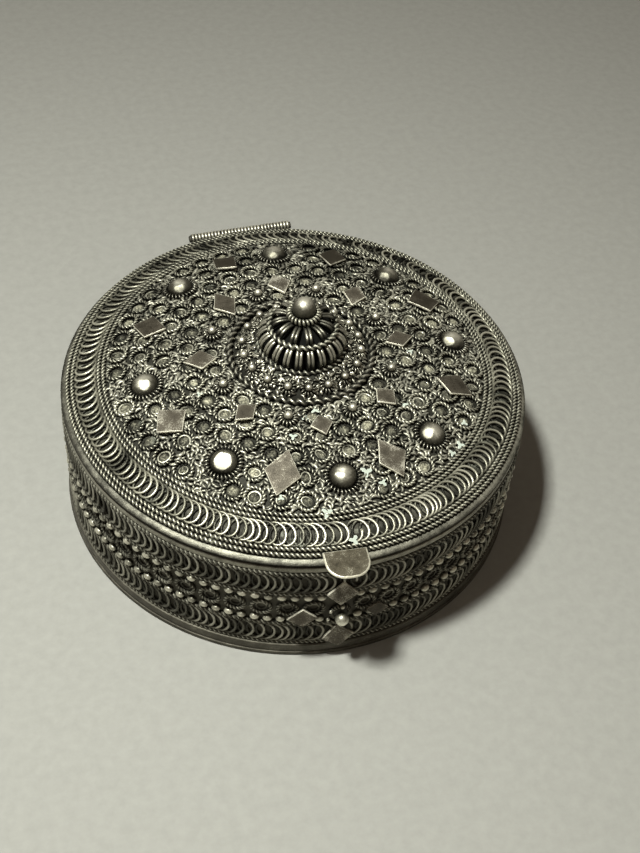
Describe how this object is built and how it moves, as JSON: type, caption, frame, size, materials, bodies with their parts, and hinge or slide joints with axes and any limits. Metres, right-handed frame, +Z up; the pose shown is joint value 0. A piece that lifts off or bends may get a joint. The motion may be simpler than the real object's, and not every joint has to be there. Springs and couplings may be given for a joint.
{
  "type": "paan box",
  "caption": "Round hinged-lid betel box of sheet metal dressed with filigree wire coils, rings, domed studs and lozenges, with a tiered finial and a thumb tab.",
  "frame": {"origin": "centre of the base, on the surface that the box stands on", "axes": "+Z up through the finial; +Y from the thumb tab's side towards the hinge; +X to the right of someone who faces the tab"},
  "size_m": [0.1216, 0.128, 0.0635],
  "materials": {
    "sheet_silver": "dull, dark oxidised silver sheet",
    "wire_silver": "oxidised silver wire, worn bright on its tops",
    "ornament_silver": "worn silver",
    "tab_silver": "worn, warm pale metal",
    "hinge_silver": "dull silver"
  },
  "bodies": {
    "box": {"base_plate": "sheet_silver", "body_wall": "sheet_silver", "bottom_rim": "sheet_silver", "top_rim": "sheet_silver", "lower_coil_band": "wire_silver", "upper_coil_band": "wire_silver", "lower_bead_row": "wire_silver", "upper_bead_row": "wire_silver", "wall_ring_row": "wire_silver", "stud_collar": "ornament_silver", "stud": "ornament_silver", "front_lozenges": "ornament_silver", "hinge_side_knuckles": "hinge_silver", "hinge_pin": "hinge_silver"},
    "lid": {"lid_sheet": "sheet_silver", "lid_rim": "sheet_silver", "lid_outer_ropes": "wire_silver", "lid_coil_band": "wire_silver", "lid_inner_ropes": "wire_silver", "domes": "ornament_silver", "dome_collars": "wire_silver", "granule_collars": "wire_silver", "granules": "ornament_silver", "outer_lozenges": "ornament_silver", "inner_lozenges": "ornament_silver", "border_rings": "wire_silver", "finial_skirt": "sheet_silver", "skirt_granules": "ornament_silver", "finial_foot_rope": "wire_silver", "finial_shoulder_rope": "wire_silver", "finial_waist_rope": "wire_silver", "finial_lower_loops": "wire_silver", "finial_upper_loops": "wire_silver", "finial_core": "sheet_silver", "finial_neck": "wire_silver", "finial_ball": "ornament_silver", "thumb_tab": "tab_silver", "hinge_middle_knuckle": "hinge_silver"}
  },
  "joints": [
    {"name": "lid_hinge", "type": "hinge", "parent": "box", "child": "lid", "pos_m": [0, 0.0615, 0.03555], "axis": [-1, 0, 0], "range_deg": [0, 105]}
  ]
}
